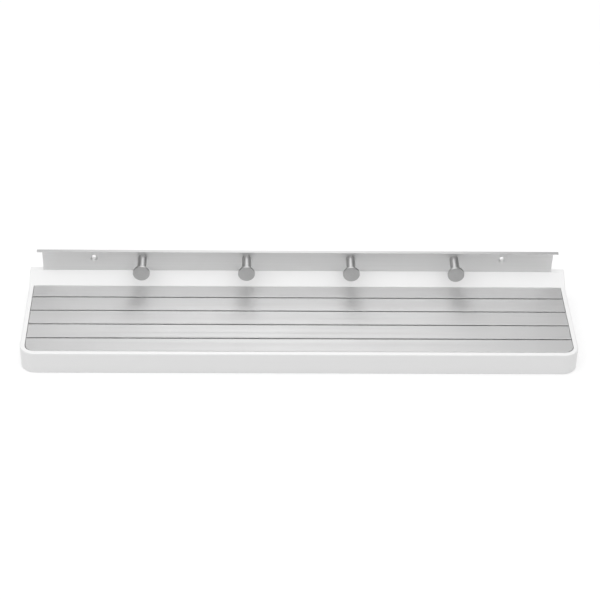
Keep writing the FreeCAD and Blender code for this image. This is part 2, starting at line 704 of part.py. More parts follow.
def make_cover_screws(doc):
    """Flat-headed screws that hold the underside cover to its bosses."""
    screw = make_flat_screw(doc, "cover", "Sizes.cover_screw_diameter", "Sizes.cover_screw_length",
                            "Sizes.cover_screw_head_diameter")
    places = [(x, y, COVER_BOTTOM) for x, y in cover_screw_places()]
    return make_group(doc, "cover_screws", screw, places)


def make_parts(doc):
    """Every sub-part of the shelf, in the order in which it goes together."""
    parts = [make_shelf_body(doc)]
    for number in range(1, SLAT_COUNT + 1):
        parts.append(make_slat(doc, number))
    for label, x in zip(BEARER_NAMES, bearer_places()):
        parts.append(make_bearer(doc, label, x))
    parts.append(make_slat_screws(doc))
    parts.append(make_bearer_screws(doc))
    parts.append(make_cover(doc))
    parts.append(make_cover_screws(doc))
    parts.append(make_hook_rail(doc))
    for number, x in enumerate(spread(PEG_COUNT, "Sizes.peg_pitch"), start=1):
        parts.append(make_peg(doc, number, x))
    parts.append(make_peg_screws(doc))
    return parts


def check(doc, parts):
    """Stop unless every object is sound and every sub-part is made of closed solids."""
    for item in doc.Objects:
        if any(word in item.State for word in ("Invalid", "Error")):
            raise RuntimeError(f"{item.Name} failed: {item.State}")
    for part in parts:
        shape = part.Shape
        if shape.isNull() or not shape.isValid() or not shape.Solids:
            raise RuntimeError(f"{part.Label} has no sound shape")


def main():
    """Build the shelf, check it and write one file per sub-part."""
    doc = FreeCAD.newDocument("PegRailShelf")
    make_sheet(doc)
    parts = make_parts(doc)
    doc.recompute()
    check(doc, parts)
    os.makedirs("parts", exist_ok=True)
    for part in parts:
        part.Shape.exportStep(os.path.join("parts", f"{part.Label}.step"))
        box = part.Shape.BoundBox
        print(f"{part.Label}: {len(part.Shape.Solids)} solids, volume {part.Shape.Volume:.1f}, "
              f"x {box.XMin:.2f} to {box.XMax:.2f}, y {box.YMin:.2f} to {box.YMax:.2f}, "
              f"z {box.ZMin:.2f} to {box.ZMax:.2f}")


main()
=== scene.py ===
"""White wall shelf with a deck of brushed metal slats and a metal rail of four round pegs.

The built parts come in as a fixed frame in metres: X runs along the shelf, +Y points into the wall
and +Z is up. This script gives each part its finish and sets up the floor, the light and the camera.
"""
import logging
import math
from dataclasses import dataclass
from enum import Enum
from typing import ClassVar, Dict, List, Mapping, Optional, Sequence, Tuple, Union

import bpy
from mathutils import Matrix, Vector


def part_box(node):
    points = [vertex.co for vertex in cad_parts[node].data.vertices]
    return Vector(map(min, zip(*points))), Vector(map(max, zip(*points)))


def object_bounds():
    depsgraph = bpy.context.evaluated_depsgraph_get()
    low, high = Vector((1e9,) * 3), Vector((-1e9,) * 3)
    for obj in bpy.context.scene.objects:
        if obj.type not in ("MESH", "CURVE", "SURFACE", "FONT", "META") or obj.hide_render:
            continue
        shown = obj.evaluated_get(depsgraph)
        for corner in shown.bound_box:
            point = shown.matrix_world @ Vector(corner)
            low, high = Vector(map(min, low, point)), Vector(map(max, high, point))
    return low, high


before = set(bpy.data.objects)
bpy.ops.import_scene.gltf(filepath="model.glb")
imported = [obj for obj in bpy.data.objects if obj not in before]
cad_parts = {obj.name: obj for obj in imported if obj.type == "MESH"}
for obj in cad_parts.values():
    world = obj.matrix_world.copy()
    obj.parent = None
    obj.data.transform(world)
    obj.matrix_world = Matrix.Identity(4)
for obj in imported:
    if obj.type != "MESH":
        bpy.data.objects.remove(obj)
cad_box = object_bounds()

log = logging.getLogger("shelf")

Colour = Tuple[float, float, float]
Value = Union[float, Sequence[float], bpy.types.NodeSocket]

MILLIMETRE = 0.001
WHITE: Colour = (1.0, 1.0, 1.0)
SCREW_STEEL: Colour = (0.60, 0.60, 0.61)
NOISE_CORE = (0.3, 0.7)  # Part of the range from 0 to 1 in which nearly all noise lies.
BEVEL_SAMPLES = 4
ONE_FACE = ((0, 1, 2, 3),)


def millimetres(length: float) -> float:
    """Turn millimetres into the scene's metres."""
    return length * MILLIMETRE


def opaque(colour: Colour) -> Tuple[float, float, float, float]:
    """Give a colour the full alpha that colour sockets ask for."""
    return (*colour, 1.0)


def shade(colour: Colour, share: float) -> Colour:
    """Lighten or darken a colour.

    Args:
        colour: Linear colour.
        share: Factor for every channel.

    Returns:
        The scaled colour, kept at or under white.
    """
    return tuple(min(1.0, channel * share) for channel in colour)


def tones(colour: Colour, share: float) -> Tuple[Tuple[float, float, float, float], ...]:
    """Give a darker and an equally lighter tone of a colour.

    Args:
        colour: Linear colour between them.
        share: Factor of the darker tone.

    Returns:
        The darker tone and the lighter one, both opaque.
    """
    return opaque(shade(colour, share)), opaque(shade(colour, 2.0 - share))


class Step(Enum):
    """Arithmetic that a math node can do."""

    ADD = "ADD"
    SUBTRACT = "SUBTRACT"
    MULTIPLY = "MULTIPLY"
    DIVIDE = "DIVIDE"
    MAXIMUM = "MAXIMUM"
    ROOT = "SQRT"
    ANGLE = "ARCTAN2"
    UNDER = "LESS_THAN"


class NodeGraph:
    """A node tree under construction, with short calls that add and wire its nodes."""

    def __init__(self, tree: bpy.types.NodeTree) -> None:
        """Take over a tree and empty it."""
        tree.nodes.clear()
        self.tree = tree

    def feed(self, socket: bpy.types.NodeSocket, given: Value) -> None:
        """Link a socket to another one, or set its value.

        Args:
            socket: Input to fill.
            given: Output to link, or a plain value.
        """
        if isinstance(given, bpy.types.NodeSocket):
            self.tree.links.new(given, socket)
        else:
            socket.default_value = given

    def add(self, kind: str, inputs: Optional[Mapping[Union[str, int], Value]] = None,
            **settings: object) -> bpy.types.Node:
        """Add a node.

        Args:
            kind: Blender's name of the node type.
            inputs: What goes into its sockets, by name or by number.
            **settings: Properties of the node itself.

        Returns:
            The new node.
        """
        node = self.tree.nodes.new(kind)
        for name, setting in settings.items():
            setattr(node, name, setting)
        for socket, given in (inputs or {}).items():
            self.feed(node.inputs[socket], given)
        return node

    def math(self, step: Step, *operands: Value, clamp: bool = False) -> bpy.types.NodeSocket:
        """Add one piece of arithmetic.

        Args:
            step: Which arithmetic.
            *operands: Its one or two operands.
            clamp: Whether the result is kept between 0 and 1.

        Returns:
            The result's socket.
        """
        node = self.add("ShaderNodeMath", dict(enumerate(operands)), operation=step.value,
                        use_clamp=clamp)
        return node.outputs["Value"]

    def remap(self, given: Value, low: float, high: float, to_low: float = 0.0,
              to_high: float = 1.0) -> bpy.types.NodeSocket:
        """Stretch a range smoothly onto another one.

        Args:
            given: Value to stretch.
            low: Where the range starts.
            high: Where the range ends.
            to_low: Result at and below the start.
            to_high: Result at and past the end.

        Returns:
            The result's socket.
        """
        node = self.add("ShaderNodeMapRange", {
            "Value": given, "From Min": low, "From Max": high, "To Min": to_low, "To Max": to_high,
        }, interpolation_type="SMOOTHSTEP")
        return node.outputs["Result"]

    def blend(self, share: Value, first: Value, second: Value) -> bpy.types.NodeSocket:
        """Blend two colours.

        Args:
            share: 0 for the first colour, 1 for the second.
            first: Colour at 0.
            second: Colour at 1.

        Returns:
            The blended colour's socket.
        """
        node = self.add("ShaderNodeMix", data_type="RGBA")
        sockets = [socket for socket in node.inputs if socket.enabled]
        for socket, given in zip(sockets, (share, first, second)):
            self.feed(socket, given)
        return [socket for socket in node.outputs if socket.enabled][0]

    def noise(self, vector: Value, scale: float = 1.0, detail: float = 2.0, roughness: float = 0.5,
              seed: Value = 0.0) -> bpy.types.NodeSocket:
        """Add seeded noise between 0 and 1.

        Args:
            vector: Place in the noise.
            scale: Cells per unit of the place.
            detail: Number of finer layers.
            roughness: Strength of the finer layers.
            seed: Place along the fourth axis.

        Returns:
            The noise's socket.
        """
        node = self.add("ShaderNodeTexNoise", {
            "Vector": vector, "W": seed, "Scale": scale, "Detail": detail, "Roughness": roughness,
        }, noise_dimensions="4D")
        return node.outputs["Fac"]

    def split(self, vector: Value) -> List[bpy.types.NodeSocket]:
        """Split a vector into its three parts."""
        return list(self.add("ShaderNodeSeparateXYZ", {"Vector": vector}).outputs)

    def join(self, x: Value, y: Value, z: Value) -> bpy.types.NodeSocket:
        """Join three parts into a vector."""
        return self.add("ShaderNodeCombineXYZ", {"X": x, "Y": y, "Z": z}).outputs["Vector"]

    def scale(self, vector: Value, factor: Value) -> bpy.types.NodeSocket:
        """Multiply a vector by a factor."""
        node = self.add("ShaderNodeVectorMath", {0: vector, "Scale": factor}, operation="SCALE")
        return node.outputs["Vector"]

    def shrink(self, vector: Value, divisor: Value) -> bpy.types.NodeSocket:
        """Divide a vector by a length."""
        return self.scale(vector, self.math(Step.DIVIDE, 1.0, divisor))

    def place(self, shift: Optional[Vector] = None) -> bpy.types.NodeSocket:
        """Add the surface's place in the object's own frame.

        Args:
            shift: Point that becomes the origin, if any.

        Returns:
            The place's socket.
        """
        place = self.add("ShaderNodeTexCoord").outputs["Object"]
        if shift is None:
            return place
        moved = self.add("ShaderNodeVectorMath", {0: place, 1: shift}, operation="SUBTRACT")
        return moved.outputs["Vector"]


class Effect:
    """A surface effect that several finishes share, built once as a node group."""

    NAME: ClassVar[str]
    INPUTS: ClassVar[Dict[str, float]]
    OUTPUTS: ClassVar[Tuple[str, ...]]

    @classmethod
    def wire(cls, graph: NodeGraph, given: Mapping[str, bpy.types.NodeSocket]) -> Dict[str, Value]:
        """Build the effect inside its group.

        Args:
            graph: The group's tree.
            given: The group's inputs, with the place under Vector.

        Returns:
            What goes to each output.
        """
        raise NotImplementedError

    @classmethod
    def group(cls) -> bpy.types.NodeTree:
        """Find the effect's node group, or make it on its first use.

        Returns:
            The group.
        """
        known = bpy.data.node_groups.get(cls.NAME)
        if known is not None:
            return known
        tree = bpy.data.node_groups.new(cls.NAME, "ShaderNodeTree")
        graph = NodeGraph(tree)
        tree.interface.new_socket("Vector", in_out="INPUT", socket_type="NodeSocketVector")
        for name, default in cls.INPUTS.items():
            socket = tree.interface.new_socket(name, in_out="INPUT", socket_type="NodeSocketFloat")
            socket.default_value = default
        for name in cls.OUTPUTS:
            tree.interface.new_socket(name, in_out="OUTPUT", socket_type="NodeSocketFloat")
        start = graph.add("NodeGroupInput")
        end = graph.add("NodeGroupOutput")
        for name, result in cls.wire(graph, start.outputs).items():
            graph.feed(end.inputs[name], result)
        return tree

    @classmethod
    def use(cls, graph: NodeGraph, vector: Value, **values: float) -> Mapping[str, bpy.types.NodeSocket]:
        """Place the effect in a material.

        Args:
            graph: The material's tree.
            vector: Place on the surface.
            **values: The effect's inputs, in lower case.

        Returns:
            The effect's outputs by name.
        """
        node = graph.add("ShaderNodeGroup", node_tree=cls.group())
        graph.feed(node.inputs["Vector"], vector)
        for name, given in values.items():
            graph.feed(node.inputs[name.capitalize()], given)
        return node.outputs


class BrushedStreaks(Effect):
    """Long fine lines along X, left by a brushing belt."""

    NAME = "brushed_streaks"
    INPUTS = {"Length": 0.09, "Pitch": 0.00035, "Seed": 0.0}
    OUTPUTS = ("Height", "Fine", "Broad")
    FINER_SHARE = 0.3
    BROADER_SHARE = 7.0
    LINE_CONTRAST = 0.6

    @classmethod
    def layer(cls, graph: NodeGraph, given: Mapping[str, bpy.types.NodeSocket], share: float,
              detail: float) -> bpy.types.NodeSocket:
        """Add one layer of lines.

        Args:
            graph: The group's tree.
            given: The group's inputs.
            share: Length and pitch of this layer against the inputs.
            detail: Number of finer layers in its noise.

        Returns:
            The layer's value between 0 and 1.
        """
        x, y, z = graph.split(given["Vector"])
        length = graph.math(Step.MULTIPLY, given["Length"], share)
        pitch = graph.math(Step.MULTIPLY, given["Pitch"], share)
        lines = graph.join(
            graph.math(Step.DIVIDE, x, length),
            graph.math(Step.DIVIDE, y, pitch),
            graph.math(Step.DIVIDE, z, pitch),
        )
        return graph.noise(lines, detail=detail, roughness=cls.LINE_CONTRAST, seed=given["Seed"])

    @classmethod
    def wire(cls, graph: NodeGraph, given: Mapping[str, bpy.types.NodeSocket]) -> Dict[str, Value]:
        """Build the lines in three widths.

        Args:
            graph: The group's tree.
            given: The group's inputs.

        Returns:
            The height of the lines, and the fine and the broad layer for colour and gloss.
        """
        middle = cls.layer(graph, given, share=1.0, detail=3.0)
        fine = cls.layer(graph, given, share=cls.FINER_SHARE, detail=1.0)
        broad = cls.layer(graph, given, share=cls.BROADER_SHARE, detail=2.0)
        height = graph.math(Step.ADD, middle, graph.math(Step.MULTIPLY, fine, cls.FINER_SHARE))
        return {"Height": height, "Fine": middle, "Broad": broad}


class MouldedGrain(Effect):
    """Shallow pebbled grain that an eroded mould leaves on plastic."""

    NAME = "moulded_grain"
    INPUTS = {"Cell": 0.0007, "Seed": 0.0}
    OUTPUTS = ("Height", "Tone")
    CLOUD_SHARE = 60.0
    PORE_SHARE = 0.4

    @classmethod
    def wire(cls, graph: NodeGraph, given: Mapping[str, bpy.types.NodeSocket]) -> Dict[str, Value]:
        """Build the pebbles and a slow change of tone.

        Args:
            graph: The group's tree.
            given: The group's inputs.

        Returns:
            The grain's height, and the tone between 0 and 1.
        """
        density = graph.math(Step.DIVIDE, 1.0, given["Cell"])
        pebbles = graph.add("ShaderNodeTexVoronoi", {
            "Vector": given["Vector"], "Scale": density, "Smoothness": 0.8, "W": given["Seed"],
        }, voronoi_dimensions="4D", feature="SMOOTH_F1")
        fine = graph.scale(given["Vector"], density)
        pores = graph.noise(fine, scale=2.0, detail=2.0, seed=given["Seed"])
        pore_height = graph.math(Step.MULTIPLY, pores, cls.PORE_SHARE)
        height = graph.math(Step.ADD, pebbles.outputs["Distance"], pore_height)
        slow = graph.scale(given["Vector"], graph.math(Step.DIVIDE, density, cls.CLOUD_SHARE))
        tone = graph.noise(slow, detail=3.0, seed=given["Seed"])
        return {"Height": height, "Tone": tone}


class EdgeWear(Effect):
    """Mask of edges that handling has rubbed, broken up so that it is nowhere even."""

    NAME = "edge_wear"
    INPUTS = {"Radius": 0.0006, "Patch": 0.012, "Seed": 0.0}
    OUTPUTS = ("Mask",)
    GAIN = 7.0
    WORN_RANGE = (0.42, 0.68)

    @classmethod
    def wire(cls, graph: NodeGraph, given: Mapping[str, bpy.types.NodeSocket]) -> Dict[str, Value]:
        """Compare the true normal with a rounded one.

        Args:
            graph: The group's tree.
            given: The group's inputs.

        Returns:
            The mask between 0 and 1.
        """
        rounded = graph.add("ShaderNodeBevel", {"Radius": given["Radius"]}, samples=BEVEL_SAMPLES)
        surface = graph.add("ShaderNodeNewGeometry")
        alike = graph.add("ShaderNodeVectorMath", {
            0: rounded.outputs["Normal"], 1: surface.outputs["Normal"],
        }, operation="DOT_PRODUCT")
        turned = graph.math(Step.SUBTRACT, 1.0, alike.outputs["Value"])
        edge = graph.math(Step.MULTIPLY, turned, cls.GAIN, clamp=True)
        patches = graph.shrink(given["Vector"], given["Patch"])
        broken = graph.remap(graph.noise(patches, detail=4.0, seed=given["Seed"]), *cls.WORN_RANGE)
        return {"Mask": graph.math(Step.MULTIPLY, edge, broken)}


class SettledDust(Effect):
    """Mask of the thin dust that settles on faces that look up."""

    NAME = "settled_dust"
    INPUTS = {"Patch": 0.06, "Speck": 0.0008, "Seed": 0.0}
    OUTPUTS = ("Mask",)
    UPWARD_RANGE = (0.5, 1.0)
    PATCH_RANGE = (0.35, 0.75)
    PATCH_SHARE = 0.45
    SPECK_RANGE = (0.56, 0.7)
    SPECK_SHARE = 0.55

    @classmethod
    def wire(cls, graph: NodeGraph, given: Mapping[str, bpy.types.NodeSocket]) -> Dict[str, Value]:
        """Gather patches and specks where the surface looks up.

        Args:
            graph: The group's tree.
            given: The group's inputs.

        Returns:
            The mask between 0 and 1.
        """
        surface = graph.add("ShaderNodeNewGeometry")
        upward = graph.remap(graph.split(surface.outputs["Normal"])[2], *cls.UPWARD_RANGE)
        wide = graph.shrink(given["Vector"], given["Patch"])
        small = graph.shrink(given["Vector"], given["Speck"])
        patches = graph.remap(graph.noise(wide, detail=4.0, seed=given["Seed"]), *cls.PATCH_RANGE)
        specks = graph.remap(graph.noise(small, detail=2.0, seed=given["Seed"]), *cls.SPECK_RANGE)
        film = graph.math(Step.ADD, graph.math(Step.MULTIPLY, patches, cls.PATCH_SHARE),
                          graph.math(Step.MULTIPLY, specks, cls.SPECK_SHARE))
        return {"Mask": graph.math(Step.MULTIPLY, film, upward, clamp=True)}


class HairScratches(Effect):
    """Mask of sparse hair-thin scratches in two crossing directions."""

    NAME = "hair_scratches"
    INPUTS = {"Length": 0.03, "Width": 0.00025, "Seed": 0.0}
    OUTPUTS = ("Mask",)
    TURNS = (0.35, -0.9)
    PEAK_RANGE = (0.79, 0.86)

    @classmethod
    def wire(cls, graph: NodeGraph, given: Mapping[str, bpy.types.NodeSocket]) -> Dict[str, Value]:
        """Lay thin stretched noise in each direction and keep its peaks.

        Args:
            graph: The group's tree.
            given: The group's inputs.

        Returns:
            The mask between 0 and 1.
        """
        found: Value = 0.0
        for turn in cls.TURNS:
            turned = graph.add("ShaderNodeVectorRotate", {"Vector": given["Vector"], "Angle": turn},
                               rotation_type="Z_AXIS")
            x, y, z = graph.split(turned.outputs["Vector"])
            lines = graph.join(
                graph.math(Step.DIVIDE, x, given["Length"]),
                graph.math(Step.DIVIDE, y, given["Width"]),
                graph.math(Step.DIVIDE, z, given["Length"]),
            )
            peaks = graph.remap(graph.noise(lines, detail=0.0, seed=given["Seed"]), *cls.PEAK_RANGE)
            found = graph.math(Step.MAXIMUM, found, peaks)
        return {"Mask": found}


class TurnedRings(Effect):
    """Concentric tool marks about the Y axis of a turned piece."""

    NAME = "turned_rings"
    INPUTS = {"Pitch": 0.00022, "Seed": 0.0}
    OUTPUTS = ("Height", "Tone")
    TURN_SHARE = 0.5
    TONE_SCALE = 0.22

    @classmethod
    def wire(cls, graph: NodeGraph, given: Mapping[str, bpy.types.NodeSocket]) -> Dict[str, Value]:
        """Build rings that follow the distance from the axis and the way along it.

        Args:
            graph: The group's tree.
            given: The group's inputs, with the place measured from the axis.

        Returns:
            The rings' height, and a slower change for tone.
        """
        x, y, z = graph.split(given["Vector"])
        squares = graph.math(Step.ADD, graph.math(Step.MULTIPLY, x, x), graph.math(Step.MULTIPLY, z, z))
        radius = graph.math(Step.ROOT, squares)
        turn = graph.math(Step.MULTIPLY, graph.math(Step.ANGLE, z, x), cls.TURN_SHARE)
        rings = graph.join(
            graph.math(Step.DIVIDE, radius, given["Pitch"]),
            graph.math(Step.DIVIDE, y, given["Pitch"]),
            turn,
        )
        height = graph.noise(rings, detail=1.0, seed=given["Seed"])
        tone = graph.noise(rings, scale=cls.TONE_SCALE, detail=2.0, seed=given["Seed"])
        return {"Height": height, "Tone": tone}


class Surface:
    """A principled material under construction."""

    def __init__(self, name: str, fixed: Mapping[str, Value]) -> None:
        """Make the material with its constant values.

        Args:
            name: Name of the material.
            fixed: Values that are the same all over, by socket.
        """
        self.material = bpy.data.materials.new(name)
        self.material.use_nodes = True
        self.graph = NodeGraph(self.material.node_tree)
        self.shader = self.graph.add("ShaderNodeBsdfPrincipled", fixed)
        output = self.graph.add("ShaderNodeOutputMaterial")
        self.graph.feed(output.inputs["Surface"], self.shader.outputs["BSDF"])

    def vary(self, socket: str, given: bpy.types.NodeSocket) -> None:
        """Let a socket change over the surface."""
        self.graph.feed(self.shader.inputs[socket], given)

    def relief(self, height: bpy.types.NodeSocket, depth: float, edge_radius: float) -> None:
        """Add a fine relief over slightly rounded edges.

        Args:
            height: Relief between 0 and about 1.
            depth: Real depth of the relief.
            edge_radius: Rounding that every sharp edge shows.
        """
        rounded = self.graph.add("ShaderNodeBevel", {"Radius": edge_radius}, samples=BEVEL_SAMPLES)
        bump = self.graph.add("ShaderNodeBump", {
            "Strength": 1.0, "Distance": depth, "Height": height, "Normal": rounded.outputs["Normal"],
        })
        self.vary("Normal", bump.outputs["Normal"])


class Finish:
    """What the finishes share: a material, and how tone, wear and dust change it over the surface."""

    name: str
    colour: Colour
    roughness: float
    roughness_below: float
    roughness_above: float
    wear_share: float
    wear_lightness: float
    dust_colour: Colour
    dust_share: float

    def material(self) -> bpy.types.Material:
        """Build the finish.

        Returns:
            The finished material.
        """
        raise NotImplementedError

    def matt(self, graph: NodeGraph, tone: Value) -> bpy.types.NodeSocket:
        """Let the roughness follow a tone."""
        return graph.remap(tone, *NOISE_CORE, self.roughness - self.roughness_below,
                           self.roughness + self.roughness_above)

    def worn(self, graph: NodeGraph, mask: Value, colour: Value) -> bpy.types.NodeSocket:
        """Lighten a colour where handling has rubbed the metal."""
        share = graph.math(Step.MULTIPLY, mask, self.wear_share)
        return graph.blend(share, colour, opaque(shade(self.colour, self.wear_lightness)))

    def dusted(self, graph: NodeGraph, mask: Value, colour: Value) -> bpy.types.NodeSocket:
        """Lay a film of dust over a colour."""
        share = graph.math(Step.MULTIPLY, mask, self.dust_share)
        return graph.blend(share, colour, opaque(self.dust_colour))


@dataclass(frozen=True)
class MouldedPlastic(Finish):
    """Satin plastic with a fine moulded grain."""

    name: str
    colour: Colour
    roughness: float = 0.42
    roughness_below: float = 0.03
    roughness_above: float = 0.04
    grain_cell: float = millimetres(0.7)
    grain_depth: float = millimetres(0.012)
    edge_radius: float = millimetres(0.25)
    wear_gloss: float = 0.12
    tone_share: float = 0.985
    dust_colour: Colour = (0.80, 0.79, 0.77)
    dust_share: float = 0.05
    dust_dullness: float = 0.10
    seed: float = 3.1

    def material(self) -> bpy.types.Material:
        """Build the plastic.

        Returns:
            The finished material.
        """
        surface = Surface(self.name, {"Metallic": 0.0, "IOR": 1.49, "Specular IOR Level": 0.5})
        graph = surface.graph
        place = graph.place()
        grain = MouldedGrain.use(graph, place, cell=self.grain_cell, seed=self.seed)
        wear = EdgeWear.use(graph, place, radius=self.edge_radius, seed=self.seed)
        dust = SettledDust.use(graph, place, seed=self.seed)
        deep = opaque(shade(self.colour, self.tone_share))
        toned = graph.blend(grain["Tone"], deep, opaque(self.colour))
        surface.vary("Base Color", self.dusted(graph, dust["Mask"], toned))
        polish = graph.math(Step.MULTIPLY, wear["Mask"], self.wear_gloss)
        film = graph.math(Step.MULTIPLY, dust["Mask"], self.dust_dullness)
        rubbed = graph.math(Step.SUBTRACT, self.matt(graph, grain["Tone"]), polish)
        surface.vary("Roughness", graph.math(Step.ADD, rubbed, film, clamp=True))
        surface.relief(grain["Height"], self.grain_depth, self.edge_radius)
        return surface.material


@dataclass(frozen=True)
class BrushedMetal(Finish):
    """Anodised metal with brushing lines along X, whose highlights also spread along X."""

    SPREAD: ClassVar[Tuple[float, float, float]] = (1.0, 0.0, 0.0)

    name: str
    colour: Colour
    roughness: float = 0.57
    roughness_below: float = 0.04
    roughness_above: float = 0.05
    anisotropy: float = 0.64
    line_length: float = millimetres(90)
    line_pitch: float = millimetres(0.32)
    line_depth: float = millimetres(0.002)
    edge_radius: float = millimetres(0.15)
    fine_share: float = 0.6
    broad_share: float = 0.4
    tone_share: float = 0.975
    wear_width: float = 3.0
    wear_share: float = 0.35
    wear_lightness: float = 1.12
    scratch_dullness: float = 0.10
    scratch_depth: float = 0.5
    dust_colour: Colour = (0.62, 0.61, 0.60)
    dust_share: float = 0.03
    dust_dullness: float = 0.06
    seed: float = 1.7

    def material(self) -> bpy.types.Material:
        """Build the brushed metal.

        Returns:
            The finished material.
        """
        surface = Surface(self.name, {
            "Metallic": 1.0, "Anisotropic": self.anisotropy, "Coat Weight": 0.0,
        })
        graph = surface.graph
        place = graph.place()
        streaks = BrushedStreaks.use(graph, place, length=self.line_length, pitch=self.line_pitch,
                                     seed=self.seed)
        wear = EdgeWear.use(graph, place, radius=self.edge_radius * self.wear_width, seed=self.seed)
        dust = SettledDust.use(graph, place, seed=self.seed)
        scratches = HairScratches.use(graph, place, seed=self.seed)
        tone = graph.math(Step.ADD, graph.math(Step.MULTIPLY, streaks["Fine"], self.fine_share),
                          graph.math(Step.MULTIPLY, streaks["Broad"], self.broad_share))
        toned = graph.blend(graph.remap(tone, *NOISE_CORE), *tones(self.colour, self.tone_share))
        rubbed = self.worn(graph, wear["Mask"], toned)
        surface.vary("Base Color", self.dusted(graph, dust["Mask"], rubbed))
        cut = graph.math(Step.MULTIPLY, scratches["Mask"], self.scratch_dullness)
        film = graph.math(Step.MULTIPLY, dust["Mask"], self.dust_dullness)
        matt = graph.math(Step.ADD, self.matt(graph, streaks["Broad"]), cut)
        surface.vary("Roughness", graph.math(Step.ADD, matt, film, clamp=True))
        surface.vary("Tangent", graph.join(*self.SPREAD))
        scored = graph.math(Step.MULTIPLY, scratches["Mask"], self.scratch_depth)
        height = graph.math(Step.SUBTRACT, streaks["Height"], scored)
        surface.relief(height, self.line_depth, self.edge_radius)
        return surface.material


@dataclass(frozen=True)
class TurnedMetal(Finish):
    """Satin steel with the rings of a lathe about its own axis."""

    name: str
    colour: Colour
    axis: Vector
    roughness: float = 0.40
    roughness_below: float = 0.04
    roughness_above: float = 0.05
    ring_pitch: float = millimetres(0.22)
    ring_depth: float = millimetres(0.0006)
    edge_radius: float = millimetres(0.45)
    wear_radius: float = millimetres(0.45)
    wear_patch: float = millimetres(4)
    wear_share: float = 0.5
    wear_lightness: float = 1.15
    scratch_length: float = millimetres(6)
    scratch_width: float = millimetres(0.12)
    scratch_dullness: float = 0.12
    tone_share: float = 0.97
    seed: float = 5.3

    def material(self) -> bpy.types.Material:
        """Build the turned metal.

        Returns:
            The finished material.
        """
        surface = Surface(self.name, {"Metallic": 1.0, "Coat Weight": 0.0})
        graph = surface.graph
        place = graph.place(self.axis)
        rings = TurnedRings.use(graph, place, pitch=self.ring_pitch, seed=self.seed)
        wear = EdgeWear.use(graph, place, radius=self.wear_radius, patch=self.wear_patch, seed=self.seed)
        scratches = HairScratches.use(graph, place, length=self.scratch_length, width=self.scratch_width,
                                      seed=self.seed)
        toned = graph.blend(graph.remap(rings["Tone"], *NOISE_CORE), *tones(self.colour, self.tone_share))
        surface.vary("Base Color", self.worn(graph, wear["Mask"], toned))
        cut = graph.math(Step.MULTIPLY, scratches["Mask"], self.scratch_dullness)
        matt = self.matt(graph, rings["Tone"])
        surface.vary("Roughness", graph.math(Step.ADD, matt, cut, clamp=True))
        surface.relief(rings["Height"], self.ring_depth, self.edge_radius)
        return surface.material


@dataclass(frozen=True)
class PlainMetal(Finish):
    """Unbrushed metal as it leaves the mill or the screw machine."""

    name: str
    colour: Colour
    roughness: float = 0.36
    roughness_below: float = 0.06
    roughness_above: float = 0.08
    grain_cell: float = millimetres(0.35)
    grain_depth: float = millimetres(0.004)
    edge_radius: float = millimetres(0.12)
    wear_width: float = 3.0
    wear_patch: float = millimetres(3)
    wear_share: float = 0.5
    wear_lightness: float = 1.15
    tone_share: float = 0.90
    seed: float = 8.2

    def material(self) -> bpy.types.Material:
        """Build the plain metal.

        Returns:
            The finished material.
        """
        surface = Surface(self.name, {"Metallic": 1.0, "Coat Weight": 0.0})
        graph = surface.graph
        place = graph.place()
        grain = MouldedGrain.use(graph, place, cell=self.grain_cell, seed=self.seed)
        wear = EdgeWear.use(graph, place, radius=self.edge_radius * self.wear_width,
                            patch=self.wear_patch, seed=self.seed)
        toned = graph.blend(grain["Tone"], opaque(shade(self.colour, self.tone_share)), opaque(self.colour))
        surface.vary("Base Color", self.worn(graph, wear["Mask"], toned))
        surface.vary("Roughness", self.matt(graph, grain["Tone"]))
        surface.relief(grain["Height"], self.grain_depth, self.edge_radius)
        return surface.material


def dress(node: str, finish: Finish) -> None:
    """Give a built part its finish.

    Args:
        node: Name of the part.
        finish: What it is made of and how it is finished.
    """
    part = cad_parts[node]
    part.data.materials.clear()
    part.data.materials.append(finish.material())
    low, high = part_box(node)
    size = (high - low) / MILLIMETRE
    log.info("%s: %s, %.1f x %.1f x %.1f mm", node, finish.name, *size)


@dataclass
class ShelfBody:
    """The white moulding with its rim, slope and upstand, and the cover under it."""

    white: Colour = (0.90, 0.90, 0.90)
    cover_white: Colour = (0.84, 0.84, 0.83)

    def dress(self) -> None:
        """Finish the moulding, its cover and the cover's screws."""
        dress("shelf_body", MouldedPlastic("white_plastic", self.white))
        dress("underside_cover", MouldedPlastic(
            "cover_plastic", self.cover_white, roughness=0.5, grain_cell=millimetres(1.1),
            grain_depth=millimetres(0.025), seed=6.4))
        dress("cover_screws", PlainMetal("cover_screw_steel", SCREW_STEEL))


@dataclass
class Deck:
    """Five brushed slats on three cross bars."""

    slats: int = 5
    metal: Colour = (0.94, 0.94, 0.94)
    bar_metal: Colour = (0.68, 0.68, 0.69)
    tone_step: float = 0.006
    seed_step: float = 1.7

    def dress(self) -> None:
        """Finish the slats, each from its own stretch of brushed stock, and what carries them."""
        for number in range(1, self.slats + 1):
            lighter = 1.0 + self.tone_step * (number % 2)
            dress(f"deck_slat_{number}", BrushedMetal(
                f"brushed_aluminium_{number}", shade(self.metal, lighter), seed=self.seed_step * number))
        for side in ("left", "middle", "right"):
            dress(f"deck_bearer_{side}", PlainMetal(f"bearer_aluminium_{side}", self.bar_metal))
        for group in ("slat_screws", "bearer_screws"):
            dress(group, PlainMetal(f"{group}_steel", SCREW_STEEL))


